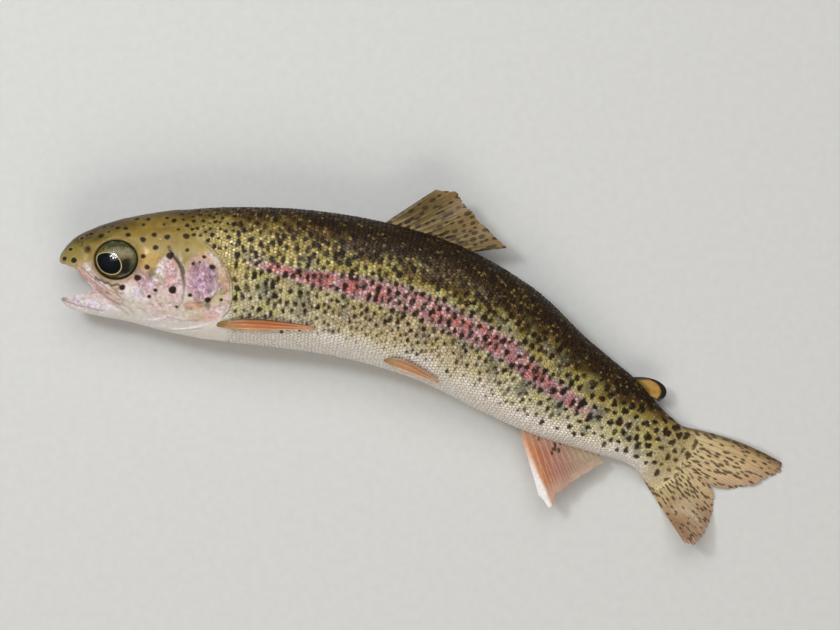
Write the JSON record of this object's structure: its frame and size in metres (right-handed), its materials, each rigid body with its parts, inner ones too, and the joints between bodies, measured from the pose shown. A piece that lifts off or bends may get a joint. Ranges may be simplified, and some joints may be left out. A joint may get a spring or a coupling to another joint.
{
  "type": "rainbow trout model",
  "caption": "Life-size rainbow trout lying on its right flank, body bent and mouth open, with separate head, jaws, gill covers, eyes, trunk, tail stalk and fins.",
  "frame": {"origin": "under the middle of the fish's outline, on the surface it lies on", "axes": "+X from the snout towards the tail, +Y towards the back, +Z out of the left flank, up from the surface"},
  "size_m": [0.2062, 0.1006, 0.0213],
  "materials": {
    "skin": "wet olive skin with dark spots, a rosy stripe along the flank and a pale belly",
    "pale_skin": "wet pale rosy skin over bone",
    "fin": "wet amber fin rays with a thin membrane",
    "eye": "clear wet eye, black pupil and golden iris"
  },
  "bodies": {
    "root": {"head": "skin", "lower_jaw": "pale_skin", "tongue": "pale_skin", "upper_jaw_left": "pale_skin", "upper_jaw_right": "pale_skin", "gill_cover_left": "pale_skin", "gill_cover_right": "pale_skin", "eye_left": "eye", "eye_right": "eye", "trunk": "skin", "tail_stalk": "skin", "dorsal_fin": "fin", "adipose_fin": "fin", "anal_fin": "fin", "pectoral_fin_left": "fin", "pectoral_fin_right": "fin", "pelvic_fin_left": "fin", "pelvic_fin_right": "fin", "tail_fin": "fin"}
  },
  "joints": []
}
